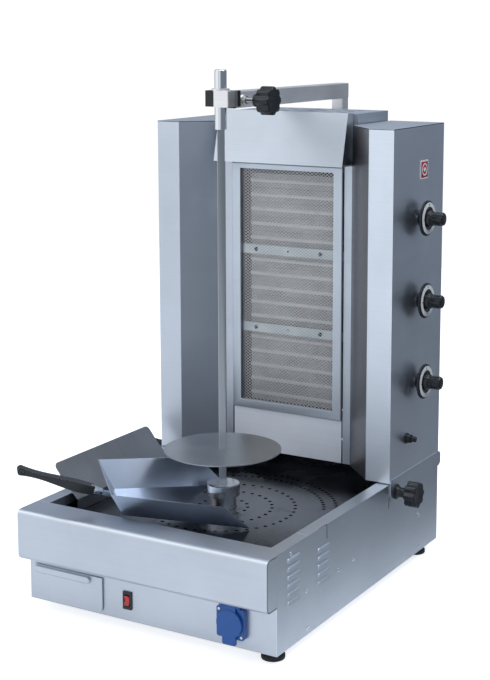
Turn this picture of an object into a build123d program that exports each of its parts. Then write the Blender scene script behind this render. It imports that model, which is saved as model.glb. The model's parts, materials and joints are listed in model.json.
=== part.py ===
from build123d import *
from math import cos, radians, sin
import os

# Vertical rotisserie broiler: a gas burner tower slides on a base that turns the spit.
# Origin on the spit's axis at the counter. X right, Y back, Z up. Millimetres.

os.makedirs("parts", exist_ok=True)

# Driving dimensions
sheet = 1.5
body_half = 249.5
front_y = -240
back_y = 392
base_bottom = 20
rim_top = 190
fascia_y = -272
fascia_bottom = 100.5
opening_half = 224
opening_front = -214
pan_floor = 140
plate_top = 158

wing_front = 172
wing_face_inner = 201.5
wing_half = 250
wing_bottom = 192
wing_top = 836
burner_plane = 235
burner_half = 137
frame_half = 119
window_half = 100.5
frame_low = 277.5
frame_high = 757
window_low = 294
window_high = 747
hood_bottom = 762
hood_top = 859

burner_middle = 515
burner_pitch = 153
knob_y = 283
igniter_y = 241
igniter_z = 261
manifold_x = 212
inlet_z = 232

spit_flat = 13
spit_turn = 33
spit_bottom = 186.3
neck_radius = 10.5
neck_bottom = 838
spit_top = 941
disc_radius = 105.5
disc_top = 266
hub_radius = 24.5
cap_radius = 30.5
cap_bottom = 181.1
cap_top = 203

arm_z = 888
arm_width = 25
arm_height = 30
arm_front = 31
post_front = 437
post_back = 462
bearing_low = 877
bearing_high = 905
arm_screw_y = 51

tower_travel = 140
clamp_y = 197
clamp_z = 171

socket_x = 168
socket_z = 64

inner_half = body_half - sheet
under_rim = rim_top - sheet
wing_inside = wing_half - sheet
burner_heights = [burner_middle + step * burner_pitch for step in (1, 0, -1)]
sides = (("left", -1), ("right", 1))


def block(low, high, mode=Mode.ADD):
    """Add a box between two corners to the part being built."""
    size = [b - a for a, b in zip(low, high)]
    middle = tuple((a + b) / 2 for a, b in zip(low, high))
    with Locations(middle):
        return Box(*size, mode=mode)


drawer_left = -238
drawer_right = -92
drawer_low = 25
drawer_high = 86
drawer_depth = 300

# Base: sheet panels
with BuildPart() as base_floor:
    block((-inner_half, front_y + sheet, base_bottom), (inner_half, back_y - sheet, base_bottom + sheet))
    with Locations((0, 160, base_bottom + sheet)):
        with GridLocations(60, 14, 5, 6):
            Hole(radius=3)
    # runners of the grease drawer
    for x in (drawer_left + 2, drawer_right - 5.5):
        block((x, front_y + sheet, base_bottom + sheet), (x + 3.5, front_y + 310, 50))
base_floor.part.label = "base_floor"
export_step(base_floor.part, "parts/base_floor.step")

louvre_length = 42
louvre_height = 9
louvre_rise = 2.2
louvre_columns = ((-186, 96, 6), (-83, 95, 5))
louvre_pitch = 14.5

with BuildPart() as base_sides:
    for side, sign in sides:
        outer = Plane(origin=(sign * body_half, 0, 0), x_dir=(0, sign, 0), z_dir=(sign, 0, 0))
        with BuildSketch(outer.offset(-sheet)):
            with Locations((sign * (front_y + back_y) / 2, (base_bottom + under_rim) / 2)):
                Rectangle(back_y - front_y, under_rim - base_bottom)
            # slot for the tower's clamp stud, with its narrow run-out in front
            with Locations((sign * (clamp_y + tower_travel / 2), clamp_z)):
                SlotCenterToCenter(tower_travel + 4, 10, mode=Mode.SUBTRACT)
            with Locations((sign * 171, 156)):
                Rectangle(3, 21, mode=Mode.SUBTRACT)
            # gap of the rim's corner lock
            with Locations((sign * -71, 177)):
                Rectangle(2.5, 24, mode=Mode.SUBTRACT)
        extrude(amount=sheet)
        for start, low, count in louvre_columns:
            rows = [low + step * louvre_pitch for step in range(count)]
            with BuildSketch(outer):
                with Locations(*[(sign * start, row) for row in rows]):
                    SlotOverall(louvre_length, louvre_height)
            extrude(amount=louvre_rise, taper=35)
            with BuildSketch(outer.offset(-sheet)):
                with Locations(*[(sign * start, row - 3) for row in rows]):
                    Rectangle(louvre_length - 12, 2)
            extrude(amount=sheet + 1, mode=Mode.SUBTRACT)
base_sides.part.label = "base_sides"
export_step(base_sides.part, "parts/base_sides.step")

with BuildPart() as front_panel:
    block((-inner_half, front_y, base_bottom), (inner_half, front_y + sheet, 152))
    block((drawer_left + 5, front_y - 1, drawer_low + 1), (drawer_right - 5, front_y + 3, drawer_high - 5),
          mode=Mode.SUBTRACT)
    block((-47.5, front_y - 1, 44), (-34.5, front_y + 3, 69), mode=Mode.SUBTRACT)
    with Locations(Plane(origin=(socket_x, front_y, socket_z), z_dir=(0, -1, 0))):
        Hole(radius=21.5)
front_panel.part.label = "front_panel"
export_step(front_panel.part, "parts/front_panel.step")

gland_x = -180
gland_z = 60
pan_half = opening_half + 2 * sheet
pan_back = 386

with BuildPart() as back_panel:
    block((-inner_half, back_y - sheet, base_bottom), (inner_half, back_y, under_rim))
    block((-opening_half, pan_back - sheet, under_rim), (opening_half, back_y, rim_top))
    with Locations(Plane(origin=(gland_x, back_y, gland_z), z_dir=(0, 1, 0))):
        Hole(radius=8.2)
    with Locations(Plane(origin=(120, back_y, 80), z_dir=(0, 1, 0))):
        with GridLocations(14, 10, 8, 6):
            Hole(radius=2.5)
back_panel.part.label = "back_panel"
export_step(back_panel.part, "parts/back_panel.step")

# Front fascia: one bent sheet that makes the front rim, the rounded nose and the return
with BuildPart() as fascia:
    with BuildSketch(Plane.YZ.offset(-body_half)):
        with BuildLine():
            FilletPolyline(
                (opening_front, rim_top),
                (fascia_y, rim_top),
                (fascia_y, fascia_bottom),
                (front_y - 0.1, fascia_bottom),
                radius=10,
            )
            offset(amount=sheet, side=Side.LEFT)
        make_face()
    extrude(amount=2 * body_half)
fascia.part.label = "front_fascia"
export_step(fascia.part, "parts/front_fascia.step")

end_gap = 1.2
with BuildPart() as fascia_ends:
    for start in (-body_half, inner_half):
        with BuildSketch(Plane.YZ.offset(start)) as end_shape:
            with Locations(((fascia_y + sheet + end_gap + front_y) / 2, (fascia_bottom + rim_top) / 2)):
                Rectangle(
                    front_y - fascia_y - sheet - end_gap,
                    rim_top - fascia_bottom - 2 * (sheet + end_gap),
                )
            fillet(end_shape.vertices().group_by(Axis.X)[0], radius=8)
        extrude(amount=sheet)
fascia_ends.part.label = "fascia_ends"
export_step(fascia_ends.part, "parts/fascia_ends.step")

with BuildPart() as side_rims:
    for side, sign in sides:
        near, far = sorted((sign * opening_half, sign * body_half))
        block((near, opening_front, under_rim), (far, back_y, rim_top))
        lip_near, lip_far = sorted((sign * opening_half, sign * (opening_half + sheet)))
        block((lip_near, opening_front, 172), (lip_far, 384, under_rim))
        # corner lock notch and the joint line across the rim
        notch_near, notch_far = sorted((sign * (body_half - 2), sign * (body_half + 1)))
        block((notch_near, -97, under_rim - 1), (notch_far, -69.7, rim_top + 1), mode=Mode.SUBTRACT)
        block((near - 1, -134.5, rim_top - 0.8), (far + 1, -133.5, rim_top + 1), mode=Mode.SUBTRACT)
side_rims.part.label = "side_rims"
export_step(side_rims.part, "parts/side_rims.step")

with BuildPart() as drip_pan:
    block((-pan_half, opening_front - sheet, pan_floor), (pan_half, pan_back, under_rim))
    block(
        (-pan_half + sheet, opening_front, pan_floor + sheet),
        (pan_half - sheet, pan_back - sheet, under_rim + 1),
        mode=Mode.SUBTRACT,
    )
    with Locations((0, 0, pan_floor + sheet)):
        Hole(radius=12)
    with Locations((-165, -150, pan_floor + sheet)):
        Hole(radius=15)
drip_pan.part.label = "drip_pan"
export_step(drip_pan.part, "parts/drip_pan.step")

# Perforated plate: rings of drain holes round the hub, edges turned down to stand in the pan
hole_radius = 3.5
hole_rings = ((45, 15), (88.8, 30), (131, 45))
corner_arcs = ((182, 25, 155, 34), (205, 28, 152, 36))
plate_half = opening_half - 0.7
plate_front = opening_front + 0.7
plate_back = pan_back - sheet - 0.7

with BuildPart() as perforated_plate:
    block((-plate_half, plate_front, plate_top - sheet), (plate_half, plate_back, plate_top))
    for edge in (-1, 1):
        near, far = sorted((edge * plate_half, edge * (plate_half - sheet)))
        block((near, plate_front, pan_floor + sheet), (far, plate_back, plate_top - sheet))
    with Locations((0, 0, plate_top)):
        Hole(radius=hub_radius + 1)
        for ring_radius, ring_count in hole_rings:
            with PolarLocations(ring_radius, ring_count):
                Hole(radius=hole_radius)
        for arc_radius, arc_start, arc_end, arc_count in corner_arcs:
            with PolarLocations(arc_radius, arc_count, start_angle=arc_start, angular_range=arc_end - arc_start,
                                endpoint=True):
                Hole(radius=hole_radius)
perforated_plate.part.label = "perforated_plate"
export_step(perforated_plate.part, "parts/perforated_plate.step")

# Feet: rubber pads on studs
foot_radius = 20
foot_x = 222
foot_places = ((foot_x, -204.5), (-foot_x, -160), (foot_x, 350.5), (-foot_x, 350.5))
pad_height = 7
cone_top = 13
upwards = (Align.CENTER, Align.CENTER, Align.MIN)
with BuildPart() as feet:
    with Locations(*[(x, y, 0) for x, y in foot_places]):
        Cylinder(foot_radius, pad_height, align=upwards)
        with Locations((0, 0, pad_height)):
            Cone(foot_radius, 12, cone_top - pad_height, align=upwards)
        with Locations((0, 0, cone_top)):
            Cylinder(9, base_bottom - cone_top, align=upwards)
    chamfer(feet.edges().group_by(Axis.Z)[0], length=1)
feet.part.label = "feet"
export_step(feet.part, "parts/feet.step")

# Spit drive: gearmotor under the pan, fixed hub, turning shaft and cap
shaft_radius = 10
with BuildPart() as gearmotor:
    block((-48, -38, 86), (48, 62, pan_floor - 3))
    fillet(gearmotor.edges().filter_by(Axis.Z), radius=6)
    block((-60, -48, pan_floor - 3), (60, 72, pan_floor))
    with BuildSketch(Plane.XY.offset(86)):
        with Locations((0, 22)):
            Circle(32)
    extrude(amount=-54)
    with BuildSketch(Plane.XY.offset(pan_floor)):
        Circle(shaft_radius + 0.08)
    extrude(amount=-46, mode=Mode.SUBTRACT)
gearmotor.part.label = "gearmotor"
export_step(gearmotor.part, "parts/gearmotor.step")

with BuildPart() as hub_housing:
    with BuildSketch(Plane.XZ):
        with BuildLine():
            Polyline(
                (shaft_radius + 0.08, pan_floor + sheet),
                (36, pan_floor + sheet),
                (36, pan_floor + 5),
                (hub_radius, pan_floor + 6),
                (hub_radius, cap_bottom - 0.5),
                (shaft_radius + 0.08, cap_bottom - 0.5),
                (shaft_radius + 0.08, pan_floor + sheet),
            )
        make_face()
    revolve(axis=Axis.Z)
hub_housing.part.label = "hub_housing"
export_step(hub_housing.part, "parts/hub_housing.step")

with BuildPart() as drive_cap:
    with BuildSketch(Plane.XY.offset(cap_bottom)):
        Circle(cap_radius)
    extrude(amount=cap_top - cap_bottom)
    chamfer(drive_cap.edges().group_by(Axis.Z)[-1], length=1.2)
    with BuildSketch(Plane.XY.offset(cap_bottom)):
        Circle(shaft_radius)
    extrude(amount=pan_floor - 45 - cap_bottom)
    with BuildSketch(Plane.XY.offset(cap_top)):
        Rectangle(spit_flat + 0.5, spit_flat + 0.5, rotation=spit_turn)
    extrude(amount=-17, mode=Mode.SUBTRACT)
drive_cap.part.label = "drive_cap"
export_step(drive_cap.part, "parts/drive_cap.step")

# Spit: square bar with a round neck, and the disc that carries the meat
with BuildPart() as spit:
    with BuildSketch(Plane.XY.offset(spit_bottom)):
        Rectangle(spit_flat, spit_flat, rotation=spit_turn)
    extrude(amount=neck_bottom - spit_bottom)
    with BuildSketch(Plane.XY.offset(neck_bottom)):
        Circle(neck_radius)
    extrude(amount=spit_top - neck_bottom)
    chamfer(spit.edges().group_by(Axis.Z)[-1], length=1.5)
spit.part.label = "spit_bar"
export_step(spit.part, "parts/spit_bar.step")

with BuildPart() as meat_disc:
    with BuildSketch(Plane.XY.offset(disc_top - 2)):
        Circle(disc_radius)
        Rectangle(spit_flat + 0.1, spit_flat + 0.1, rotation=spit_turn, mode=Mode.SUBTRACT)
    extrude(amount=2)
    # collar with its grub screw under the disc
    with BuildSketch(Plane.XY.offset(disc_top - 2)):
        Circle(15)
        Rectangle(spit_flat + 0.1, spit_flat + 0.1, rotation=spit_turn, mode=Mode.SUBTRACT)
    extrude(amount=-16)
    with BuildSketch(Plane.YZ.offset(14)):
        with Locations((0, disc_top - 10)):
            Circle(3)
    extrude(amount=6)
meat_disc.part.label = "meat_disc"
export_step(meat_disc.part, "parts/meat_disc.step")

# Grease drawer
with BuildPart() as drawer:
    block((drawer_left + 7, front_y - 1, drawer_low + 3), (drawer_right - 7, front_y + drawer_depth, drawer_high - 8))
    block(
        (drawer_left + 8.2, front_y + 1, drawer_low + 4.2),
        (drawer_right - 8.2, front_y + drawer_depth - 1.2, drawer_high),
        mode=Mode.SUBTRACT,
    )
    block((drawer_left, front_y - 4, drawer_low), (drawer_right, front_y - 1, drawer_high))
    # rounded lower corners of the drawer's face
    fillet(drawer.edges().filter_by(Axis.Y).filter_by(lambda e: e.length < 4).group_by(Axis.Z)[0], radius=9)
    # pressed-out finger pull
    with BuildSketch(Plane(origin=(-176, front_y - 4, 78.5), x_dir=(1, 0, 0), z_dir=(0, -1, 0))):
        SlotOverall(122, 13)
    extrude(amount=5)
    fillet(drawer.faces().sort_by(Axis.Y)[0].edges(), radius=3)
drawer.part.label = "grease_drawer"
export_step(drawer.part, "parts/grease_drawer.step")

# Rocker switch
switch_x = -41
switch_z = 56.5
with BuildPart() as switch_frame:
    block((switch_x - 9, front_y - 2.5, switch_z - 16), (switch_x + 9, front_y, switch_z + 16))
    fillet(switch_frame.edges().filter_by(Axis.Y), radius=1.5)
    block((switch_x - 6.2, front_y, switch_z - 12.2), (switch_x + 6.2, front_y + 20, switch_z + 12.2))
    block((switch_x - 5.2, front_y - 3, switch_z - 10.2), (switch_x + 5.2, front_y + 12, switch_z + 10.2),
          mode=Mode.SUBTRACT)
switch_frame.part.label = "switch_frame"
export_step(switch_frame.part, "parts/switch_frame.step")

with BuildPart() as switch_rocker:
    with BuildSketch(Plane.YZ.offset(switch_x - 4.8)):
        with BuildLine():
            Polyline(
                (front_y + 6, switch_z - 8.6),
                (front_y - 4.5, switch_z - 8.6),
                (front_y - 2, switch_z),
                (front_y - 4.5, switch_z + 8.6),
                (front_y + 6, switch_z + 8.6),
                (front_y + 6, switch_z - 8.6),
            )
        make_face()
    extrude(amount=9.6)
switch_rocker.part.label = "switch_rocker"
export_step(switch_rocker.part, "parts/switch_rocker.step")

# Outlet socket with a hinged round lid
socket_front = front_y - 10
socket_plane = Plane(origin=(socket_x, socket_front, socket_z), x_dir=(1, 0, 0), z_dir=(0, -1, 0))
socket_half = 26
lid_hinge = (socket_front - 0.5, socket_z + socket_half + 4)
lid_knuckle = 3.5

with BuildPart() as socket_body:
    with BuildSketch(socket_plane):
        RectangleRounded(2 * socket_half, 2 * socket_half, 4)
    extrude(amount=-10)
    with BuildSketch(socket_plane.offset(-10)):
        Circle(21)
    extrude(amount=-28)
    with BuildSketch(socket_plane):
        Circle(19)
    extrude(amount=-18, mode=Mode.SUBTRACT)
    # hinge ears on the top edge
    for x in (-16, 16):
        with BuildSketch(Plane.YZ.offset(socket_x + x - 3)):
            with Locations(lid_hinge):
                Circle(lid_knuckle)
                with Locations((1.5, -3)):
                    Rectangle(4, 6)
        extrude(amount=6)
    with BuildSketch(Plane.YZ.offset(socket_x - 20)):
        with Locations(lid_hinge):
            Circle(1.55)
    extrude(amount=40, mode=Mode.SUBTRACT)
socket_body.part.label = "socket_body"
export_step(socket_body.part, "parts/socket_body.step")

with BuildPart() as socket_pin:
    with BuildSketch(Plane.YZ.offset(socket_x - 19)):
        with Locations(lid_hinge):
            Circle(1.5)
    extrude(amount=38)
socket_pin.part.label = "socket_hinge_pin"
export_step(socket_pin.part, "parts/socket_hinge_pin.step")

with BuildPart() as socket_lid:
    with BuildSketch(socket_plane.offset(0.5)):
        Circle(24)
        with Locations((0, -24)):
            RectangleRounded(26, 24, 4)
    extrude(amount=4.6)
    fillet(socket_lid.faces().sort_by(Axis.Y)[0].edges(), radius=1.5)
    block((socket_x - 12, socket_front - 4, socket_z + 18), (socket_x + 12, socket_front - 0.5, lid_hinge[1]))
    with BuildSketch(Plane.YZ.offset(socket_x - 12)):
        with Locations(lid_hinge):
            Circle(lid_knuckle)
    extrude(amount=24)
    with BuildSketch(Plane.YZ.offset(socket_x - 13)):
        with Locations(lid_hinge):
            Circle(1.58)
    extrude(amount=26, mode=Mode.SUBTRACT)
socket_lid.part.label = "socket_lid"
export_step(socket_lid.part, "parts/socket_lid.step")

# Mains cable gland in the back panel
with BuildPart() as cable_gland:
    with BuildSketch(Plane(origin=(gland_x, back_y, gland_z), z_dir=(0, 1, 0))):
        RegularPolygon(radius=13, side_count=6)
    extrude(amount=7)
    with BuildSketch(Plane(origin=(gland_x, back_y + 7, gland_z), z_dir=(0, 1, 0))):
        Circle(10)
    extrude(amount=14, taper=8)
    with BuildSketch(Plane(origin=(gland_x, back_y, gland_z), z_dir=(0, 1, 0))):
        Circle(8)
    extrude(amount=-14)
    with BuildSketch(Plane(origin=(gland_x, back_y - 14, gland_z), z_dir=(0, 1, 0))):
        Circle(4.5)
    extrude(amount=40, mode=Mode.SUBTRACT)
cable_gland.part.label = "cable_gland"
export_step(cable_gland.part, "parts/cable_gland.step")

# Dome screws of the side panels
screw_places = ((-195, 178), (-143, 98), (-140, 32), (-27, 95), (28, 96), (304, 94), (306, 32))
with BuildPart() as base_screws:
    for side, sign in sides:
        with BuildSketch(Plane(origin=(sign * body_half, 0, 0), x_dir=(0, 1, 0), z_dir=(sign, 0, 0))):
            with Locations(*[(y, sign * z) for y, z in screw_places]):
                Circle(4)
        extrude(amount=1.8, taper=30)
base_screws.part.label = "base_screws"
export_step(base_screws.part, "parts/base_screws.step")

# Burner tower: hollow wings of bent sheet with flat tops
for side, sign in sides:
    with BuildPart() as wing:
        with BuildSketch(Plane.XY.offset(wing_bottom)):
            with BuildLine():
                Polyline(
                    (sign * wing_half, back_y - sheet),
                    (sign * wing_half, wing_front),
                    (sign * wing_face_inner, wing_front),
                    (sign * burner_half, burner_plane),
                )
                offset(amount=sheet, side=Side.LEFT if sign < 0 else Side.RIGHT)
            make_face()
        extrude(amount=wing_top - sheet - wing_bottom)
        if sign > 0:
            # holes for the valve spindles and the igniter
            with BuildSketch(Plane.YZ.offset(wing_inside - 1)):
                with Locations(*[(knob_y, height) for height in burner_heights]):
                    Circle(6)
                with Locations((igniter_y, igniter_z)):
                    Circle(8.05)
            extrude(amount=4, mode=Mode.SUBTRACT)
    wing.part.label = f"wing_{side}"
    export_step(wing.part, f"parts/wing_{side}.step")

with BuildPart() as wing_caps:
    for side, sign in sides:
        with BuildSketch(Plane.XY.offset(wing_top - sheet)):
            Polygon(
                (sign * wing_half, back_y),
                (sign * wing_half, wing_front),
                (sign * wing_face_inner, wing_front),
                (sign * (burner_half + 2), burner_plane - 2),
                (sign * (burner_half + 2), back_y),
                align=None,
            )
        extrude(amount=sheet)
wing_caps.part.label = "wing_caps"
export_step(wing_caps.part, "parts/wing_caps.step")

# Skirts: each hangs from a wing over the base's side, carries the clamp stud and
# turns in under the wing to make the runner that slides on the side rim
with BuildPart() as skirts:
    for side, sign in sides:
        near, far = sorted((sign * wing_half, sign * (wing_half + sheet)))
        block((near, 175, 156), (far, 364, 197))
        block((near, 364, 169), (far, 400, 197))
        fillet(skirts.edges().filter_by(Axis.X).filter_by(lambda e: e.center().Y > 399), radius=9)
        with Locations(Plane(origin=(sign * wing_half, clamp_y, clamp_z), z_dir=(sign, 0, 0))):
            Hole(radius=4.1, depth=3)
        near, far = sorted((sign * 229, sign * 246))
        block((near, wing_front + 4, rim_top + 0.3), (far, back_y - 2 * sheet, wing_bottom + 8))
        near, far = sorted((sign * 246, sign * wing_half))
        block((near, wing_front + 4, rim_top + 0.3), (far, back_y - 2 * sheet, wing_bottom))
skirts.part.label = "skirts"
export_step(skirts.part, "parts/skirts.step")

with BuildPart() as tower_back:
    block((-wing_half, back_y - sheet, wing_bottom), (wing_half, back_y, wing_top - sheet))
    with Locations(Plane(origin=(0, back_y, 340), z_dir=(0, 1, 0))):
        with GridLocations(24, 40, 8, 3):
            Hole(radius=5)
    with Locations(Plane(origin=(manifold_x, back_y, inlet_z), z_dir=(0, 1, 0))):
        Hole(radius=9.1)
tower_back.part.label = "tower_back"
export_step(tower_back.part, "parts/tower_back.step")

# Hood: sloped plate over the burners with turned-back edges
with BuildPart() as hood:
    with BuildSketch(Plane.YZ.offset(-burner_half)):
        with BuildLine():
            Polyline((burner_plane - 4, hood_bottom), (193, hood_bottom), (216, hood_top), (236, hood_top - 1))
            offset(amount=sheet, side=Side.RIGHT)
        make_face()
    extrude(amount=2 * burner_half)
    # cheeks set in from the ends close the space behind the slope
    for start in (-burner_half + 12, burner_half - 12 - sheet):
        with BuildSketch(Plane.YZ.offset(start)):
            Polygon(
                (194, hood_bottom + 0.5),
                (217, hood_top - 0.5),
                (260, hood_top - 3),
                (260, hood_bottom + 0.5),
                align=None,
            )
        extrude(amount=sheet)
hood.part.label = "hood"
export_step(hood.part, "parts/hood.step")

box_half = 134
with BuildPart() as flue_box:
    block((-box_half, 262, hood_bottom + 4), (box_half, back_y - sheet, 855))
    block((-box_half + sheet, 262 + sheet, hood_bottom), (box_half - sheet, back_y - 2 * sheet, 855 - sheet),
          mode=Mode.SUBTRACT)
    with Locations((0, 325, 855)):
        with GridLocations(30, 36, 7, 3):
            Hole(radius=7, depth=4)
flue_box.part.label = "flue_box"
export_step(flue_box.part, "parts/flue_box.step")

# Front of the burner bay
with BuildPart() as lower_panel:
    block((-frame_half + 0.5, burner_plane, wing_bottom + 2), (frame_half - 0.5, burner_plane + sheet, frame_low - 0.5))
lower_panel.part.label = "lower_panel"
export_step(lower_panel.part, "parts/lower_panel.step")

with BuildPart() as side_strips:
    for side, sign in sides:
        near, far = sorted((sign * (frame_half + 2), sign * (burner_half - 0.3)))
        block((near, burner_plane, wing_bottom + 2), (far, burner_plane + sheet, hood_bottom - 1))
        near, far = sorted((sign * (burner_half - 0.3 - sheet), sign * (burner_half - 0.3)))
        block((near, burner_plane + sheet, wing_bottom + 2), (far, back_y - sheet, hood_bottom - 1))
    with BuildSketch(Plane.YZ.offset(-burner_half - 1)):
        with Locations(*[(knob_y, height) for height in burner_heights]):
            Circle(15)
    extrude(amount=2 * burner_half + 2, mode=Mode.SUBTRACT)
side_strips.part.label = "side_strips"
export_step(side_strips.part, "parts/side_strips.step")

frame_front = burner_plane - 5
with BuildPart() as guard_frame:
    block((-frame_half, frame_front, frame_low), (frame_half, burner_plane + sheet, frame_high))
    chamfer(guard_frame.faces().sort_by(Axis.Y)[0].edges(), length=1)
    block((-window_half, frame_front - 1, window_low), (window_half, burner_plane + 3, window_high), mode=Mode.SUBTRACT)
guard_frame.part.label = "guard_frame"
export_step(guard_frame.part, "parts/guard_frame.step")

with BuildPart() as guard_mesh:
    block((-window_half - 5, burner_plane + sheet, window_low - 5), (window_half + 5, burner_plane + 3, window_high + 5))
guard_mesh.part.label = "guard_mesh"
export_step(guard_mesh.part, "parts/guard_mesh.step")

# Burners: sheet housing with a ceramic plaque in its mouth and a mixing tube to the valve
housing_half = 100
housing_rise = 74
housing_front = 243
housing_back = 300
with BuildPart() as burner_housings:
    for height in burner_heights:
        block((-housing_half, housing_front, height - housing_rise), (housing_half, housing_back, height + housing_rise))
        block(
            (-housing_half + 4, housing_front - 1, height - housing_rise + 4),
            (housing_half - 4, housing_back - 2, height + housing_rise - 4),
            mode=Mode.SUBTRACT,
        )
        with BuildSketch(Plane.YZ.offset(housing_half)):
            with Locations((knob_y, height)):
                Circle(14)
        extrude(amount=88)
        with BuildSketch(Plane.YZ.offset(housing_half - 5)):
            with Locations((knob_y, height)):
                Circle(12)
        extrude(amount=100, mode=Mode.SUBTRACT)
burner_housings.part.label = "burner_housings"
export_step(burner_housings.part, "parts/burner_housings.step")

with BuildPart() as plaques:
    for height in burner_heights:
        block(
            (-housing_half + 4.5, housing_front + 4, height - housing_rise + 4.5),
            (housing_half - 4.5, housing_front + 17, height + housing_rise - 4.5),
        )
plaques.part.label = "ceramic_plaques"
export_step(plaques.part, "parts/ceramic_plaques.step")

with BuildPart() as burner_straps:
    for height in (burner_middle - burner_pitch / 2, burner_middle + burner_pitch / 2):
        block((-burner_half + 2, burner_plane + 3.4, height - 9), (burner_half - 2, burner_plane + 5, height + 9))
        with Locations(Plane(origin=(0, burner_plane + 3.4, height), z_dir=(0, -1, 0))):
            with GridLocations(70, 1, 3, 1):
                Hole(radius=2.2)
burner_straps.part.label = "burner_straps"
export_step(burner_straps.part, "parts/burner_straps.step")

# Gas: manifold pipe with inlet, one valve behind each knob
with BuildPart() as manifold:
    with BuildSketch(Plane.XY.offset(inlet_z - 12)):
        with Locations((manifold_x, knob_y + 24)):
            Circle(10)
    extrude(amount=burner_heights[0] + 30 - inlet_z)
    with BuildSketch(Plane(origin=(manifold_x, knob_y + 24, inlet_z), z_dir=(0, 1, 0))):
        Circle(9)
    extrude(amount=back_y - knob_y - 24)
    # hexagon and threaded inlet nipple behind the tower
    with BuildSketch(Plane(origin=(manifold_x, back_y, inlet_z), z_dir=(0, 1, 0))):
        RegularPolygon(radius=15, side_count=6)
    extrude(amount=8)
    with BuildSketch(Plane(origin=(manifold_x, back_y + 8, inlet_z), z_dir=(0, 1, 0))):
        Circle(10.5)
    extrude(amount=20)
    with BuildSketch(Plane(origin=(manifold_x, back_y + 8, inlet_z), z_dir=(0, 1, 0))):
        Circle(6)
    extrude(amount=21, mode=Mode.SUBTRACT)
manifold.part.label = "gas_manifold"
export_step(manifold.part, "parts/gas_manifold.step")

with BuildPart() as gas_valves:
    for height in burner_heights:
        block((196, knob_y - 14, height - 16), (232, knob_y + 13.5, height + 16))
        with BuildSketch(Plane.YZ.offset(232)):
            with Locations((knob_y, height)):
                Circle(10)
                Circle(4.1, mode=Mode.SUBTRACT)
        extrude(amount=wing_inside - 232)
        with BuildSketch(Plane.YZ.offset(196)):
            with Locations((knob_y, height)):
                Circle(6)
        extrude(amount=-7)
gas_valves.part.label = "gas_valves"
export_step(gas_valves.part, "parts/gas_valves.step")

# Knobs: spindle, round skirt with a raised rim and a bar grip
knob_foot = wing_half + 4
knob_disc = wing_half + 14
for number, height in enumerate(burner_heights, start=1):
    with BuildPart() as spindle:
        with BuildSketch(Plane.YZ.offset(233)):
            with Locations((knob_y, height)):
                Circle(4)
        extrude(amount=wing_half + 40 - 233)
    spindle.part.label = f"valve_spindle_{number}"
    export_step(spindle.part, f"parts/valve_spindle_{number}.step")

    with BuildPart() as knob:
        with BuildSketch(Plane.XZ.offset(-knob_y)):
            with BuildLine():
                Polyline(
                    (knob_foot, height),
                    (knob_foot, height + 16),
                    (knob_disc, height + 20),
                    (knob_disc, height + 33),
                    (knob_disc + 5, height + 33),
                    (knob_disc + 7, height + 27),
                    (knob_disc + 7, height + 15),
                    (knob_disc + 26, height + 12.5),
                    (knob_disc + 37, height + 12.5),
                    (knob_disc + 37, height),
                    (knob_foot, height),
                )
            make_face()
        revolve(axis=Axis(origin=(0, knob_y, height), direction=(1, 0, 0)))
        with BuildSketch(Plane.YZ.offset(knob_foot - 1)):
            with Locations((knob_y, height)):
                Circle(4.1)
        extrude(amount=wing_half + 47 - knob_foot, mode=Mode.SUBTRACT)
    knob.part.label = f"gas_knob_{number}"
    export_step(knob.part, f"parts/gas_knob_{number}.step")

# Piezo igniter
igniter_plane = Plane(origin=(wing_half, igniter_y, igniter_z), z_dir=(1, 0, 0))
with BuildPart() as igniter:
    with BuildSketch(igniter_plane):
        Circle(10)
    extrude(amount=3)
    with BuildSketch(igniter_plane.offset(3)):
        Circle(8)
    extrude(amount=8)
    with BuildSketch(igniter_plane):
        Circle(8)
    extrude(amount=-38)
    with BuildSketch(igniter_plane.offset(11)):
        Circle(5.6)
    extrude(amount=-30, mode=Mode.SUBTRACT)
igniter.part.label = "igniter_body"
export_step(igniter.part, "parts/igniter_body.step")

with BuildPart() as igniter_button:
    with BuildSketch(igniter_plane.offset(-8)):
        Circle(5.3)
    extrude(amount=28)
    fillet(igniter_button.edges().sort_by(Axis.X)[-1], radius=1)
igniter_button.part.label = "igniter_button"
export_step(igniter_button.part, "parts/igniter_button.step")

with BuildPart() as badge:
    with BuildSketch(Plane.YZ.offset(wing_half)):
        with Locations((303, 755)):
            RectangleRounded(34, 34, 2)
    extrude(amount=0.8)
badge.part.label = "badge"
export_step(badge.part, "parts/badge.step")

# Star knobs: one shape for the two side clamps and the arm lock
lobe_count = 8
lobe_radius = 5


def star_sketch(radius):
    """Scalloped outline of a star grip."""
    Circle(radius)
    with PolarLocations(radius + 1.5, lobe_count):
        Circle(lobe_radius, mode=Mode.SUBTRACT)


for side, sign in sides:
    clamp_plane = Plane(origin=(sign * (wing_half + sheet), clamp_y, clamp_z), z_dir=(sign, 0, 0))
    with BuildPart() as clamp:
        with BuildSketch(clamp_plane.offset(0.3)):
            Circle(14)
        extrude(amount=4)
        with BuildSketch(clamp_plane.offset(4.3)):
            Circle(9)
        extrude(amount=20)
        with BuildSketch(clamp_plane.offset(24.3)):
            star_sketch(24)
        extrude(amount=22)
        with BuildSketch(clamp_plane.offset(0.3)):
            Circle(4)
        extrude(amount=-22)
    clamp.part.label = f"clamp_knob_{side}"
    export_step(clamp.part, f"parts/clamp_knob_{side}.step")

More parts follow.
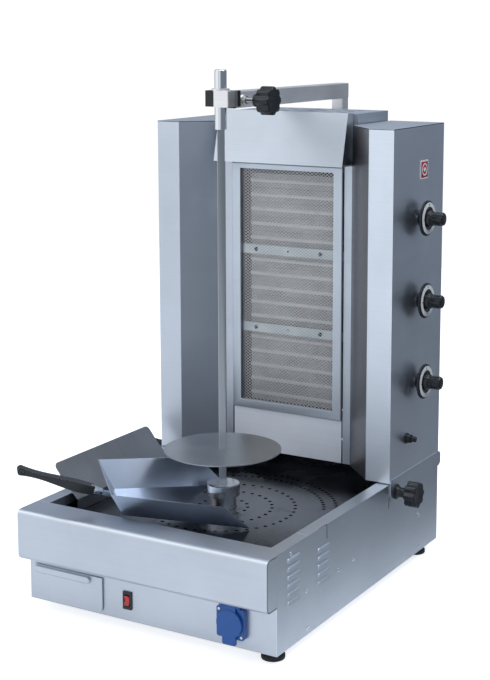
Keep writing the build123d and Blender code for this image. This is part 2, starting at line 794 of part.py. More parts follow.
arm_screw_plane = Plane(origin=(arm_width / 2, arm_screw_y, arm_z - 1), z_dir=(1, 0, 0))
with BuildPart() as arm_knob:
    with BuildSketch(arm_screw_plane.offset(26.5)):
        Circle(11.5)
    extrude(amount=13)
    with BuildSketch(arm_screw_plane.offset(39.5)):
        star_sketch(25)
    extrude(amount=26)
    chamfer(arm_knob.faces().sort_by(Axis.X)[-1].edges(), length=1.5)
    with BuildSketch(arm_screw_plane.offset(26.5)):
        Circle(5)
    extrude(amount=-28.6)
arm_knob.part.label = "arm_lock_knob"
export_step(arm_knob.part, "parts/arm_lock_knob.step")

# Arm: square tube on a post behind the tower, with an inner bar that carries the top bearing
arm_low = arm_z - arm_height / 2
arm_high = arm_z + arm_height / 2
half_arm = arm_width / 2
with BuildPart() as arm_tube:
    block((-half_arm, arm_front, arm_low), (half_arm, post_back, arm_high))
    fillet(arm_tube.edges().filter_by(Axis.Y), radius=2)
    block((-half_arm + 2, arm_front - 1, arm_low + 2), (half_arm - 2, post_front, arm_high - 2), mode=Mode.SUBTRACT)
    with Locations(Plane(origin=(half_arm, arm_screw_y, arm_z - 1), z_dir=(1, 0, 0))):
        Hole(radius=5.2, depth=4)
    with BuildSketch(arm_screw_plane):
        RegularPolygon(radius=9, side_count=6)
        Circle(5.2, mode=Mode.SUBTRACT)
    extrude(amount=4)
arm_tube.part.label = "arm_tube"
export_step(arm_tube.part, "parts/arm_tube.step")

with BuildPart() as arm_post:
    block((-half_arm, post_front, 620), (half_arm, post_back, arm_low))
    fillet(arm_post.edges().filter_by(Axis.Z), radius=2)
    for height in (660, 800):
        block((-18, back_y, height - 20), (18, post_front, height + 20))
        block((-14, back_y - 1, height - 16), (14, post_front - 2, height + 21), mode=Mode.SUBTRACT)
        block((-18, back_y, height - 20), (18, back_y + 2, height + 20))
arm_post.part.label = "arm_post"
export_step(arm_post.part, "parts/arm_post.step")

with BuildPart() as arm_plug:
    block((-half_arm, arm_front - 4, arm_low), (half_arm, arm_front, arm_high))
    fillet(arm_plug.edges().filter_by(Axis.Y), radius=2)
    block((-9.9, arm_front - 5, arm_z - 12.4), (9.9, arm_front + 1, arm_z + 12.4), mode=Mode.SUBTRACT)
arm_plug.part.label = "arm_end_plug"
export_step(arm_plug.part, "parts/arm_end_plug.step")

block_back = 24
with BuildPart() as arm_bar:
    block((-9.5, block_back, arm_z - 12), (9.5, 350, arm_z + 12))
    fillet(arm_bar.edges().filter_by(Axis.Y), radius=1.5)
arm_bar.part.label = "arm_inner_bar"
export_step(arm_bar.part, "parts/arm_inner_bar.step")

with BuildPart() as bearing_block:
    block((-28, -6, bearing_low), (26, block_back, bearing_high))
    block((-4, -7, bearing_low - 1), (27, 3, bearing_high + 1), mode=Mode.SUBTRACT)
    with Locations((0, 0, bearing_high)):
        Hole(radius=neck_radius + 0.09)
bearing_block.part.label = "bearing_block"
export_step(bearing_block.part, "parts/bearing_block.step")

with BuildPart() as bearing_keeper:
    block((-4, -18, bearing_low), (26, 3, bearing_high))
    fillet(bearing_keeper.edges().filter_by(Axis.Z).sort_by(Axis.Y)[:2], radius=1.5)
    with Locations((0, 0, bearing_high)):
        Hole(radius=neck_radius + 0.09)
    # round bush flange on top
    with BuildSketch(Plane.XY.offset(bearing_high)):
        Circle(15.5)
        Circle(neck_radius + 0.09, mode=Mode.SUBTRACT)
    extrude(amount=3.5)
bearing_keeper.part.label = "bearing_keeper"
export_step(bearing_keeper.part, "parts/bearing_keeper.step")

# Splash guard: bent sheet that hooks over the left rim and stands in the pan
with BuildPart() as splash_guard:
    with BuildSketch(Plane(origin=(0, -154, 0), x_dir=(1, 0, 0), z_dir=(0, -1, 0))):
        with BuildLine():
            Polyline((-262, 238), (-236, 204.5), (-210, 180), (-210, plate_top + 0.4))
            offset(amount=1.2, side=Side.LEFT)
        make_face()
    extrude(amount=-294)
    fillet(splash_guard.edges().filter_by(lambda e: e.length < 2).sort_by(Axis.Z)[-2:], radius=10)
splash_guard.part.label = "splash_guard"
export_step(splash_guard.part, "parts/splash_guard.step")

# Scoop: flared sheet pan with a concave mouth that fits round the hub, on a riveted handle
scoop_sheet = 1.2
scoop_rear_half = 54
scoop_mouth_half = 92
scoop_length = 215.5
scoop_rise = 46
scoop_flare = 29
scoop_lean = 30
scoop_cut_back = 57
scoop_mouth_depth = 72
handle_start = (-46, 22)
handle_length = 138
handle_rise = 13
handle_width = 17
scoop_plane = Plane(Location((-110.5, -167.8, 196.6), (6.24, 7.18, 45.31), Extrinsic.XYZ))
scoop_taper = (scoop_mouth_half - scoop_rear_half) / scoop_length
scoop_mouth_radius = (scoop_mouth_half**2 + scoop_mouth_depth**2) / (2 * scoop_mouth_depth)


def scoop_section(height, inset, front):
    """Corners of the scoop's inside or outside at a height above its floor."""
    rear = -scoop_lean * height / scoop_rise + inset
    widen = scoop_flare * height / scoop_rise - inset
    rear_half = scoop_rear_half + scoop_taper * rear + widen
    front_half = scoop_rear_half + scoop_taper * front + widen
    return [(rear, -rear_half), (front, -front_half), (front, front_half), (rear, rear_half)]


def scoop_side_plane(offset):
    """Upright plane along the scoop, offset to its left."""
    origin = scoop_plane.from_local_coords((0, offset, 0))
    return Plane(origin=origin, x_dir=scoop_plane.x_dir, z_dir=-scoop_plane.y_dir)


with BuildPart() as scoop_pan:
    for height in (0, scoop_rise):
        with BuildSketch(scoop_plane.offset(height)):
            Polygon(*scoop_section(height, 0, scoop_length), align=None)
    loft()
    for height in (scoop_sheet, scoop_rise + 1):
        with BuildSketch(scoop_plane.offset(height)):
            Polygon(*scoop_section(height, 1.2 * scoop_sheet, scoop_length + 5), align=None)
    loft(mode=Mode.SUBTRACT)
    # slanted front ends of the side walls
    with BuildSketch(scoop_side_plane(200)):
        Polygon(
            (scoop_length, 0.9),
            (scoop_length - scoop_cut_back, scoop_rise + 1),
            (scoop_length + 10, scoop_rise + 1),
            (scoop_length + 10, 0.9),
            align=None,
        )
    extrude(amount=400, mode=Mode.SUBTRACT)
    # concave mouth
    with BuildSketch(scoop_plane.offset(-1)):
        with Locations((scoop_length + scoop_mouth_radius - scoop_mouth_depth, 0)):
            Circle(scoop_mouth_radius)
    extrude(amount=scoop_sheet + 1.8, mode=Mode.SUBTRACT)
    # tang welded to the rear wall
    with BuildSketch(scoop_side_plane(5)):
        with BuildLine():
            Polyline((-9.5, 11), (-28, 14), handle_start)
            offset(amount=6, side=Side.RIGHT)
        make_face()
    extrude(amount=10)
scoop_pan.part.label = "scoop_pan"
export_step(scoop_pan.part, "parts/scoop_pan.step")


def along_handle(distance, above):
    """Point beside the handle's middle line, in the scoop's side plane."""
    x = handle_start[0] - distance * cos(radians(handle_rise)) - above * sin(radians(handle_rise))
    y = handle_start[1] + distance * sin(radians(handle_rise)) - above * cos(radians(handle_rise))
    return (x, y)


with BuildPart() as scoop_handle:
    with BuildSketch(scoop_side_plane(handle_width / 2)):
        with BuildLine():
            top = Spline(along_handle(0, -7), along_handle(25, -8), along_handle(85, -5), along_handle(132, -7))
            tip = ThreePointArc(along_handle(132, -7), along_handle(handle_length, 0), along_handle(132, 6.5))
            under = Spline(along_handle(132, 6.5), along_handle(85, 5), along_handle(25, 9.5), along_handle(0, 7))
            Line(under @ 1, top @ 0)
        make_face()
        with Locations(along_handle(128, 0)):
            Circle(3, mode=Mode.SUBTRACT)
    extrude(amount=handle_width)
scoop_handle.part.label = "scoop_handle"
export_step(scoop_handle.part, "parts/scoop_handle.step")
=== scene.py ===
import json
from math import atan2, cos, pi, radians, sin

import bmesh
import bpy
from mathutils import Euler, Matrix, Vector

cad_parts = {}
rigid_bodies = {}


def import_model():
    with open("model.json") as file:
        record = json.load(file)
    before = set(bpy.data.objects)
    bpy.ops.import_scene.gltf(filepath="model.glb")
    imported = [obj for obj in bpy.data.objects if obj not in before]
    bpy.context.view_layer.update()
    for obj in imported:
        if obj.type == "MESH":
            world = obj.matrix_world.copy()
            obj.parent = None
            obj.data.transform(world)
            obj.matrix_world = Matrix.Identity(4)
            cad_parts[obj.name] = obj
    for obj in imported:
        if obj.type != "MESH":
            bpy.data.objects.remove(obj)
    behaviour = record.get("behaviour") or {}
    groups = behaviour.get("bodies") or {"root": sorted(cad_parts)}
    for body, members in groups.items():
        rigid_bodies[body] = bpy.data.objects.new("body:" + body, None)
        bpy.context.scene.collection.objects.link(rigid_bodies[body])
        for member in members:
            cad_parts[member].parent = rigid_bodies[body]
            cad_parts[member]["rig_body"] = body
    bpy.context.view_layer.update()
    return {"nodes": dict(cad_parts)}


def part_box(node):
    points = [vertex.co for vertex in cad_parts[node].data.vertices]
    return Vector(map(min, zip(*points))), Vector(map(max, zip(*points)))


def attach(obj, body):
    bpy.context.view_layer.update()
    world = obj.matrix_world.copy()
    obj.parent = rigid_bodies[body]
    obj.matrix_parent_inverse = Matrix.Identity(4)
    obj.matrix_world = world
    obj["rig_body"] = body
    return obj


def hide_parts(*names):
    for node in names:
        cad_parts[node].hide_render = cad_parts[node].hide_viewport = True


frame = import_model()
nodes = frame["nodes"]
mm = 0.001
axisX, axisZ = Vector((1, 0, 0)), Vector((0, 0, 1))
print("frame loaded with", len(nodes), "nodes")


# Camera, light and floor

studio = {
    "cameraPlace": (1.336, -2.1432, 1.0162),
    "turn": 29.884,
    "tilt": 9.106,
    "lens": 77.0,
    "shift": (-0.0413, -0.12),
    "backdrop": 1.03,  # brightness behind the object
    "brightSide": 1.0,  # brightness of the soft light in front and to the left
    "darkSide": 0.23,
    "brightTint": (0.93, 0.97, 1.02),
    "darkTint": (0.76, 0.87, 1.06),
    "overheadFill": 0.24,
    "gapDepth": 0.7,  # how dark the gap between two soft boxes is
    "floorSize": 7.0,
    "floorDrop": 0.0004,
    "floorGlow": 0.68,
    "floorBounce": 0.16,
}


class Wire:  # a node output that adds maths nodes when it is used in an expression
    def __init__(self, recipe, socket):
        self.recipe = recipe
        self.socket = socket

    def maths(self, operation, other=0.0, swap=False):
        first, second = (other, self) if swap else (self, other)
        return self.recipe.add("ShaderNodeMath", {"operation": operation}, {0: first, 1: second})

    def __add__(self, other):
        return self.maths("ADD", other)

    def __sub__(self, other):
        return self.maths("SUBTRACT", other)

    def __mul__(self, other):
        return self.maths("MULTIPLY", other)

    def __truediv__(self, other):
        return self.maths("DIVIDE", other)

    def __rsub__(self, other):
        return self.maths("SUBTRACT", other, swap=True)

    __radd__ = __add__
    __rmul__ = __mul__

    def fraction(self):
        return self.maths("FRACT")

    def root(self):
        return self.maths("SQRT")


class Recipe:  # a node tree under construction
    def __init__(self, tree):
        self.tree = tree
        self.place = self.add("ShaderNodeTexCoord", output="Object")

    def add(self, kind, settings=None, inputs=None, output=0):
        node = self.tree.nodes.new(kind)
        for key, value in (settings or {}).items():
            setattr(node, key, value)
        for key, value in (inputs or {}).items():
            if isinstance(value, Wire):
                self.tree.links.new(value.socket, node.inputs[key])
            else:
                node.inputs[key].default_value = value
        return Wire(self, node.outputs[output])

    def stretched(self, scale):
        return self.add("ShaderNodeMapping", inputs={"Vector": self.place, "Scale": scale})

    def noise(self, scale, detail=2.0):
        return self.add("ShaderNodeTexNoise",
                        inputs={"Vector": self.stretched(scale), "Scale": 1.0, "Detail": detail})

    def between(self, value, low, high):  # 0 below low, 1 above high
        return self.add("ShaderNodeMapRange", {"interpolation_type": "SMOOTHSTEP"},
                        {"Value": value, "From Min": low, "From Max": high})

    def mix(self, amount, first, second):
        return self.add("ShaderNodeMix", {"data_type": "RGBA"}, {0: amount, 6: first, 7: second}, output=2)

    def bump(self, height, distance):
        return self.add("ShaderNodeBump", inputs={"Height": height, "Distance": distance, "Strength": 1.0})

    def parts(self, vector=None):
        split = self.add("ShaderNodeSeparateXYZ", inputs={"Vector": vector or self.place})
        return [Wire(self, output) for output in split.socket.node.outputs]


def paint(name, values, links=None):
    material = bpy.data.materials.new(name)
    material.use_nodes = True
    recipe = Recipe(material.node_tree)
    shader = material.node_tree.nodes["Principled BSDF"]
    for key, value in values.items():
        shader.inputs[key].default_value = value
    for key, value in (links(recipe) if links else {}).items():
        recipe.tree.links.new(value.socket, shader.inputs[key])
    return material


def tone(red, green, blue):
    return (red, green, blue, 1.0)


camera = bpy.data.objects.new("camera", bpy.data.cameras.new("camera"))
bpy.context.scene.collection.objects.link(camera)
camera.location = studio["cameraPlace"]
camera.rotation_euler = (radians(90 - studio["tilt"]), 0, radians(studio["turn"]))
camera.data.lens = studio["lens"]
camera.data.shift_x, camera.data.shift_y = studio["shift"]
bpy.context.scene.camera = camera

world = bpy.data.worlds.new("studio")
bpy.context.scene.world = world
world.use_nodes = True
air = Recipe(world.node_tree)
skyward = air.add("ShaderNodeTexCoord", output="Generated")
eastward, northward, upward = air.parts(skyward)
leftward = air.between(0.6 * eastward + 0.8 * northward, -0.1, -0.85)
overhead = air.between(upward, 0.02, 0.35)
gap = air.between(eastward, -0.17, -0.11) * air.between(eastward, 0.04, -0.02)  # between two soft boxes
soft = studio["darkSide"] + leftward * (studio["brightSide"] - studio["darkSide"])
spread = (soft + overhead * (1 - leftward) * studio["overheadFill"]) * (1 - gap * studio["gapDepth"])
seen = air.add("ShaderNodeLightPath", output="Is Camera Ray")
level = spread + seen * (studio["backdrop"] - spread)
background = world.node_tree.nodes["Background"]
lightTint = air.mix(leftward, tone(*studio["darkTint"]), tone(*studio["brightTint"]))
tint = air.mix(seen, lightTint, tone(1, 1, 1))
world.node_tree.links.new(tint.socket, background.inputs["Color"])
world.node_tree.links.new(level.socket, background.inputs["Strength"])

lamps = {  # name: (place, aim, size, watts)
    "key": ((-2.4, -2.0, 4.2), (0, 0, 0.3), 4.0, 34),
    "top": ((0.5, 0.4, 3.4), (0, 0, 0.3), 3.0, 30),
    "side": ((2.1, 0.2, 2.9), (0.2, 0, 0.5), 0.9, 22),
}
for name, (place, aim, size, watts) in lamps.items():
    lamp = bpy.data.objects.new(name, bpy.data.lights.new(name, "AREA"))
    bpy.context.scene.collection.objects.link(lamp)
    lamp.data.shape = "DISK"
    lamp.data.size = size
    lamp.data.energy = watts
    lamp.location = place
    lamp.rotation_euler = (Vector(aim) - Vector(place)).to_track_quat("-Z", "Y").to_euler()

floorMesh = bpy.data.meshes.new("floor")
floorShape = bmesh.new()
bmesh.ops.create_grid(floorShape, x_segments=1, y_segments=1, size=studio["floorSize"] / 2)
bmesh.ops.translate(floorShape, verts=floorShape.verts, vec=(0, 0, -studio["floorDrop"]))
floorShape.to_mesh(floorMesh)
floorShape.free()
floor = bpy.data.objects.new("floor", floorMesh)
bpy.context.scene.collection.objects.link(floor)


def floorLinks(recipe):
    onlySeen = recipe.add("ShaderNodeLightPath", output="Is Camera Ray")
    x, y, z = recipe.parts()
    shaded = recipe.between(x + 0.2 * y, 0.15, 0.6)
    reflected = recipe.mix(shaded, tone(0.85, 0.87, 0.9), tone(0.2, 0.21, 0.22))
    return {
        "Base Color": recipe.mix(onlySeen, reflected, tone(0.84, 0.84, 0.84)),
        "Emission Strength": onlySeen * studio["floorGlow"] + (1 - onlySeen) * (1 - shaded) * studio["floorBounce"],
    }


floorMesh.materials.append(paint("paleFloor", {
    "Roughness": 0.9, "Specular IOR Level": 0.0, "Emission Color": tone(1, 1, 1)}, floorLinks))
bpy.context.scene.view_settings.view_transform = "Standard"
print("studio ready")


# Finishes

sealTone = (0.02, 0.02, 0.022)
# grey tones of a painted dark reflection on the wing's flank beside the burners
darkReflectionTones = ((0.25, 0.24, 0.25), (0.39, 0.38, 0.39))


def steel(name, color, rough, lines, lineDepth=0.00002, cloud=0.05, smudge=0.06, brushed=0.0,
          darkReflectionEdge=None, seamAbove=None, proud=None):
    # lines: how fine the grain is along x, y and z; cloud: patches of colour; smudge: handling marks
    def links(recipe):
        grain = recipe.noise(lines, detail=3.0)
        fine = recipe.noise([value * 2.7 for value in lines], detail=1.0)
        blotch = recipe.noise((7, 7, 7), detail=4.0)
        handled = recipe.between(recipe.noise((19, 19, 14), detail=5.0), 0.52, 0.72)
        darker = tone(*[part * (1 - cloud * 2.2) for part in color])
        lighter = tone(*[min(1.0, part * (1 + cloud)) for part in color])
        shade = recipe.between(blotch * 0.7 + grain * 0.3, 0.3, 0.7)
        surface = recipe.mix(shade, darker, lighter)
        if darkReflectionEdge:  # painted dark reflection on the flank that faces the burners
            x, y, z = recipe.parts()
            flank = recipe.between(x, darkReflectionEdge, darkReflectionEdge - 0.0012)
            surface = recipe.mix(flank, surface, recipe.mix(grain, *[tone(*part) for part in darkReflectionTones]))
        roughness = rough - 0.07 + grain * 0.1 + fine * 0.04 + handled * smudge
        sealed = {}
        if seamAbove:  # sealed joint along the top edge
            seam = recipe.between(recipe.parts()[2], seamAbove, seamAbove + 0.0003)
            surface = recipe.mix(seam, surface, tone(*sealTone))
            roughness = roughness + seam * 0.5
            sealed = {"Metallic": 1 - seam}
        if proud:  # pressed louvres are duller than the sheet
            x, y, z = recipe.parts()
            roughness = roughness + recipe.between(x * x, proud ** 2, (proud + 0.0004) ** 2) * 0.34
        return {
            "Base Color": surface,
            "Roughness": roughness,
            "Normal": recipe.bump(grain * 0.7 + fine * 0.3, lineDepth),
            **sealed,
        }
    return paint(name, {"Metallic": 1.0, "Anisotropic": brushed, "Anisotropic Rotation": 0.25}, links)


ringPitch = 0.0009


def turnedSteel(name, color, rough, depth=0.00001):  # fine rings round the spit's axis
    def links(recipe):
        x, y, z = recipe.parts()
        radius = (x * x + y * y).root()
        rings = recipe.add("ShaderNodeTexNoise", {"noise_dimensions": "1D"},
                           {"W": radius + z * 0.8, "Scale": 1 / ringPitch, "Detail": 3.0})
        cloud = recipe.between(recipe.noise((11, 11, 11), detail=4.0), 0.35, 0.7)
        return {
            "Base Color": recipe.mix(cloud, tone(*[part * 0.86 for part in color]), tone(*color)),
            "Roughness": rough - 0.04 + rings * 0.09 + cloud * 0.05,
            "Normal": recipe.bump(rings, depth),
        }
    return paint(name, {"Metallic": 1.0}, links)


def plastic(name, color, rough, speckle=900, depth=0.00003, wear=1.35, clear=0.0):
    def links(recipe):
        fine = recipe.noise((speckle, speckle, speckle), detail=2.0)
        rubbed = recipe.between(recipe.noise((60, 60, 60), detail=4.0), 0.5, 0.75)
        return {
            "Base Color": recipe.mix(rubbed, tone(*color), tone(*[min(1.0, part * wear) for part in color])),
            "Roughness": rough - 0.05 + fine * 0.1 + rubbed * 0.08,
            "Normal": recipe.bump(fine, depth),
        }
    return paint(name, {"Coat Weight": clear, "Coat Roughness": 0.12}, links)


holePitch = 0.0024


def ceramicLinks(recipe):  # tile with rows of small gas holes, painted dark as the shade inside them
    x, y, z = recipe.parts()
    stepX, stepZ = (x / holePitch).fraction() - 0.5, (z / holePitch).fraction() - 0.5
    hole = recipe.between((stepX * stepX + stepZ * stepZ).root(), 0.33, 0.24)
    patch = recipe.noise((30, 30, 42), detail=4.0)
    clay = recipe.mix(recipe.between(patch, 0.35, 0.65), tone(0.5, 0.49, 0.48), tone(0.68, 0.67, 0.66))
    return {
        "Base Color": recipe.mix(hole, clay, tone(0.05, 0.045, 0.04)),
        "Roughness": 0.82 + patch * 0.12,
        "Normal": recipe.bump(1 - hole, 0.0004),
    }


def zincLinks(recipe):  # spangled, with a green cast in patches
    spangle = recipe.add("ShaderNodeTexVoronoi", output="Color",
                         inputs={"Vector": recipe.stretched((150, 150, 150)), "Scale": 1.0})
    grey = recipe.add("ShaderNodeRGBToBW", inputs={0: spangle})
    tinted = recipe.between(recipe.noise((25, 25, 25)), 0.4, 0.7)
    base = recipe.mix(tinted, tone(0.5, 0.56, 0.58), tone(0.62, 0.68, 0.66))
    return {"Base Color": base, "Roughness": 0.28 + grey * 0.16, "Normal": recipe.bump(grey, 0.00004)}


threadPitch = 0.0015


def threadLinks(recipe):
    x, y, z = recipe.parts()
    turn = (x / threadPitch).fraction() - 0.5
    # the thread's turns are painted as light crests and dark grooves: painted shade in the grooves
    ridge = recipe.between((turn * turn).root(), 0.1, 0.4)
    return {
        "Base Color": recipe.mix(ridge, tone(0.6, 0.6, 0.58), tone(0.3, 0.3, 0.3)),
        "Roughness": 0.3 + ridge * 0.1,
    }


neckStart = (0.8375, 0.8385)


def spitLinks(recipe):  # satin bar below, chromed neck above
    x, y, z = recipe.parts()
    neck = recipe.between(z, *neckStart)
    drawn = recipe.noise((500, 500, 9), detail=2.0)
    return {
        "Base Color": recipe.mix(neck, tone(0.62, 0.65, 0.68), tone(0.82, 0.84, 0.86)),
        "Roughness": 0.28 + drawn * 0.1 - neck * 0.23,
        "Normal": recipe.bump(drawn * (1 - neck), 0.00001),
    }


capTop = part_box("wing_caps")[1].z


def capLinks(recipe):  # painted shadow line of the gap under the lid's edge, below the steel top
    x, y, z = recipe.parts()
    top = recipe.between(z, capTop - 0.0007, capTop - 0.0003)
    cloud = recipe.noise((7, 7, 7), detail=4.0)
    return {
        "Base Color": recipe.mix(top, tone(0.03, 0.03, 0.035), tone(0.62, 0.665, 0.725)),
        "Roughness": 0.36 + cloud * 0.1,
    }


cheekDepth = 0.019
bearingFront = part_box("bearing_block")[0].y


def bearingLinks(recipe):  # black slide with a zinc cheek on the right of the spit
    x, y, z = recipe.parts()
    cheekBack = bearingFront + cheekDepth
    cheek = recipe.between(x, 0.0100, 0.0104) * recipe.between(y, cheekBack + 0.0005, cheekBack)
    worn = recipe.noise((160, 160, 160), detail=3.0)
    return {
        "Base Color": recipe.mix(cheek, tone(0.012, 0.012, 0.014), tone(0.6, 0.58, 0.58)),
        "Metallic": cheek,
        "Roughness": 0.36 + worn * 0.14,
        "Normal": recipe.bump(worn, 0.00002),
    }


sideColor = (0.66, 0.72, 0.785)
sideGrain = {"lines": (5, 5, 420), "lineDepth": 0.000004, "cloud": 0.03}
finishes = {
    "sheet": steel("satinSheet", (0.62, 0.665, 0.725), 0.42, **sideGrain),
    # a brighter copy of the satin steel for the right wing: painted light; the left wing keeps the plain sheet
    "wing": steel("satinWing", (0.77, 0.825, 0.895), 0.36, **sideGrain, brushed=0.6, darkReflectionEdge=0.2009),
    "sideSheet": steel("satinSide", sideColor, 0.36, **sideGrain, brushed=0.6),
    "baseSheet": steel("satinBase", sideColor, 0.36, **sideGrain, brushed=0.6, proud=0.2497),
    "skirt": steel("satinSkirt", sideColor, 0.36, **sideGrain, brushed=0.6,
                   seamAbove=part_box("skirts")[1].z - 0.0006),
    # a brighter copy of the side steel: painted light on the lower panel
    "lowPanel": steel("satinLow", (0.8, 0.84, 0.9), 0.5, **sideGrain, brushed=0.75),
    "frontSheet": steel("satinFront", (0.6, 0.64, 0.695), 0.38, (4, 300, 300), lineDepth=0.000003, cloud=0.03),
    # a very dark copy of the steel: painted shade and dark reflections in the tray
    "tray": steel("trayFloor", (0.15, 0.16, 0.18), 0.22, (480, 6, 6), lineDepth=0.000004, cloud=0.14,
                  smudge=0.14),
    "guard": steel("splashSheet", (0.38, 0.395, 0.42), 0.4, (6, 480, 20), cloud=0.07),
    # the scoop steel is tinted blue: painted reflection of the pale blue sky
    "scoop": steel("polishedScoop", (0.58, 0.65, 0.76), 0.36, (9, 9, 9), lineDepth=0.000002, smudge=0.02),
    "mesh": steel("expandedSteel", (0.8, 0.8, 0.8), 0.42, (200, 200, 200)),
    # the housing is painted near black: painted shade of the bay beside the tiles
    "housing": steel("burnerSheet", (0.02, 0.02, 0.02), 0.6, (60, 60, 60), cloud=0.18),
    "disc": turnedSteel("turnedDisc", (0.43, 0.445, 0.46), 0.32),
    "cap": paint("capSheet", {"Metallic": 1.0}, capLinks),
    "bearing": paint("bearingSlide", {}, bearingLinks),
    "hub": turnedSteel("turnedHub", (0.68, 0.69, 0.7), 0.12, depth=0.000006),
    "spit": paint("spitSteel", {"Metallic": 1.0}, spitLinks),
    "chrome": steel("chrome", (0.8, 0.81, 0.83), 0.1, (90, 90, 90), lineDepth=0.000004, smudge=0.05),
    "tube": steel("tubeSteel", (0.93, 0.91, 0.9), 0.42, (9, 9, 500)),
    "casting": steel("motorCasting", (0.3, 0.31, 0.33), 0.5, (90, 90, 90), lineDepth=0.0001),
    "brass": steel("brass", (0.62, 0.46, 0.2), 0.3, (40, 400, 40)),
    "zinc": paint("zincPlate", {"Metallic": 1.0}, zincLinks),
    "thread": paint("screwThread", {"Metallic": 1.0}, threadLinks),
    "ceramic": paint("ceramicTile", {}, ceramicLinks),
    # the ridges are a lighter copy of the tile clay: painted light on the bright band of each row
    "ridge": plastic("ridgeLitClay", (0.82, 0.81, 0.79), 0.6, speckle=1500, wear=0.85),
    "black": plastic("blackPhenolic", (0.007, 0.0095, 0.0115), 0.24, wear=1.7),
    "nylon": plastic("blackNylon", (0.015, 0.015, 0.017), 0.42, wear=1.6),
    "rubber": plastic("footRubber", (0.018, 0.018, 0.018), 0.7, speckle=500, depth=0.0001),
    "white": plastic("dialWhite", (0.86, 0.87, 0.88), 0.4, wear=0.92),
    "red": plastic("redRocker", (0.55, 0.012, 0.012), 0.22, speckle=400, wear=1.15, clear=0.5),
    "blue": plastic("bluePlastic", (0.006, 0.085, 0.33), 0.3, speckle=700, wear=1.2, clear=0.1),
    "badgeRed": plastic("badgeRed", (0.42, 0.03, 0.035), 0.35, wear=1.1),
}
print("finishes ready")


# Making pieces

def keep(shape, name, body, finish, stands=(), smooth=32):
    mesh = bpy.data.meshes.new(name)
    shape.to_mesh(mesh)
    shape.free()
    mesh.materials.append(finishes[finish])
    mesh.shade_smooth()
    mesh.set_sharp_from_angle(angle=radians(smooth))
    piece = bpy.data.objects.new(name, mesh)
    bpy.context.scene.collection.objects.link(piece)
    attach(piece, body)
    if stands:
        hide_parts(*stands)
    return piece


def bodyOf(node):
    return nodes[node]["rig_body"]


roundedAbove = 35  # degrees: only sharper corners than this are rounded


def eased(node, finish, width):
    # a merged copy of the node, its sharp edges rounded, so that they catch the light
    shape = bmesh.new()
    shape.from_mesh(nodes[node].data)
    bmesh.ops.remove_doubles(shape, verts=shape.verts, dist=2e-6)
    bmesh.ops.dissolve_limit(shape, angle_limit=radians(0.3), verts=shape.verts, edges=shape.edges)
    piece = keep(shape, node + "_finished", bodyOf(node), finish, [node])
    soften = piece.modifiers.new("easedEdges", "BEVEL")
    soften.width = width * mm
    soften.segments = 4 if width > 2 else 2
    soften.limit_method = "ANGLE"
    soften.angle_limit = radians(roundedAbove)
    soften.harden_normals = True


def turned(profile, segments=48):
    # a solid of revolution round Z from (radius, height) points in millimetres
    shape = bmesh.new()
    corners = [shape.verts.new((radius * mm, 0, height * mm)) for radius, height in profile]
    line = [shape.edges.new(pair) for pair in zip(corners, corners[1:])]
    bmesh.ops.spin(shape, geom=corners + line, cent=(0, 0, 0), axis=(0, 0, 1), angle=2 * pi, steps=segments,
                   use_merge=True)
    bmesh.ops.remove_doubles(shape, verts=shape.verts, dist=1e-6)
    bmesh.ops.recalc_face_normals(shape, faces=shape.faces)
    return shape


def put(shape, place, axis=axisZ):
    # moves a shape made round Z to a place in millimetres, its Z along the axis
    aim = Vector(axis).to_track_quat("Z", "Y").to_matrix().to_4x4()
    bmesh.ops.transform(shape, matrix=Matrix.Translation(Vector(place) * mm) @ aim, verts=shape.verts)
    return shape


def join(shapes):
    whole = bmesh.new()
    for shape in shapes:
        scrap = bpy.data.meshes.new("scrap")
        shape.to_mesh(scrap)
        whole.from_mesh(scrap)
        shape.free()
        bpy.data.meshes.remove(scrap)
    return whole


def box(low, high):
    shape = bmesh.new()
    bmesh.ops.create_cube(shape, size=1.0)
    size = [b - a for a, b in zip(low, high)]
    middle = [(a + b) / 2 for a, b in zip(low, high)]
    bmesh.ops.scale(shape, verts=shape.verts, vec=Vector(size) * mm)
    bmesh.ops.translate(shape, verts=shape.verts, vec=Vector(middle) * mm)
    return shape


def rounded(shape, width):
    bmesh.ops.bevel(shape, geom=shape.edges[:], offset=width * mm, offset_type="OFFSET", affect="EDGES",
                    segments=2, profile=0.5, material=-1, clamp_overlap=True)
    return shape


# Sheet metal and other parts that keep their CAD shape

easedParts = {  # node: (finish, edge radius in mm)
    "front_fascia": ("frontSheet", 0.4), "fascia_ends": ("sideSheet", 0.3), "side_rims": ("frontSheet", 0.4),
    "wing_left": ("sheet", 0.4), "lower_panel": ("lowPanel", 0.4), "guard_frame": ("sheet", 0.5),
    "arm_post": ("tube", 0.3), "arm_end_plug": ("nylon", 0.4),
    "arm_inner_bar": ("zinc", 0.3), "bearing_block": ("bearing", 0.6), "bearing_keeper": ("tube", 0.5),
    "spit_bar": ("spit", 0.5), "meat_disc": ("disc", 0.3), "drive_cap": ("hub", 0.5),
    "hub_housing": ("hub", 0.4),
    "switch_frame": ("black", 0.4), "switch_rocker": ("red", 0.6), "socket_body": ("blue", 0.5),
    "socket_lid": ("blue", 0.7), "cable_gland": ("nylon", 0.5), "splash_guard": ("guard", 0.3),
    "scoop_pan": ("scoop", 0.3), "scoop_handle": ("black", 2.6), "feet": ("rubber", 0.8),
    "igniter_body": ("black", 0.5), "igniter_button": ("black", 0.4),
}
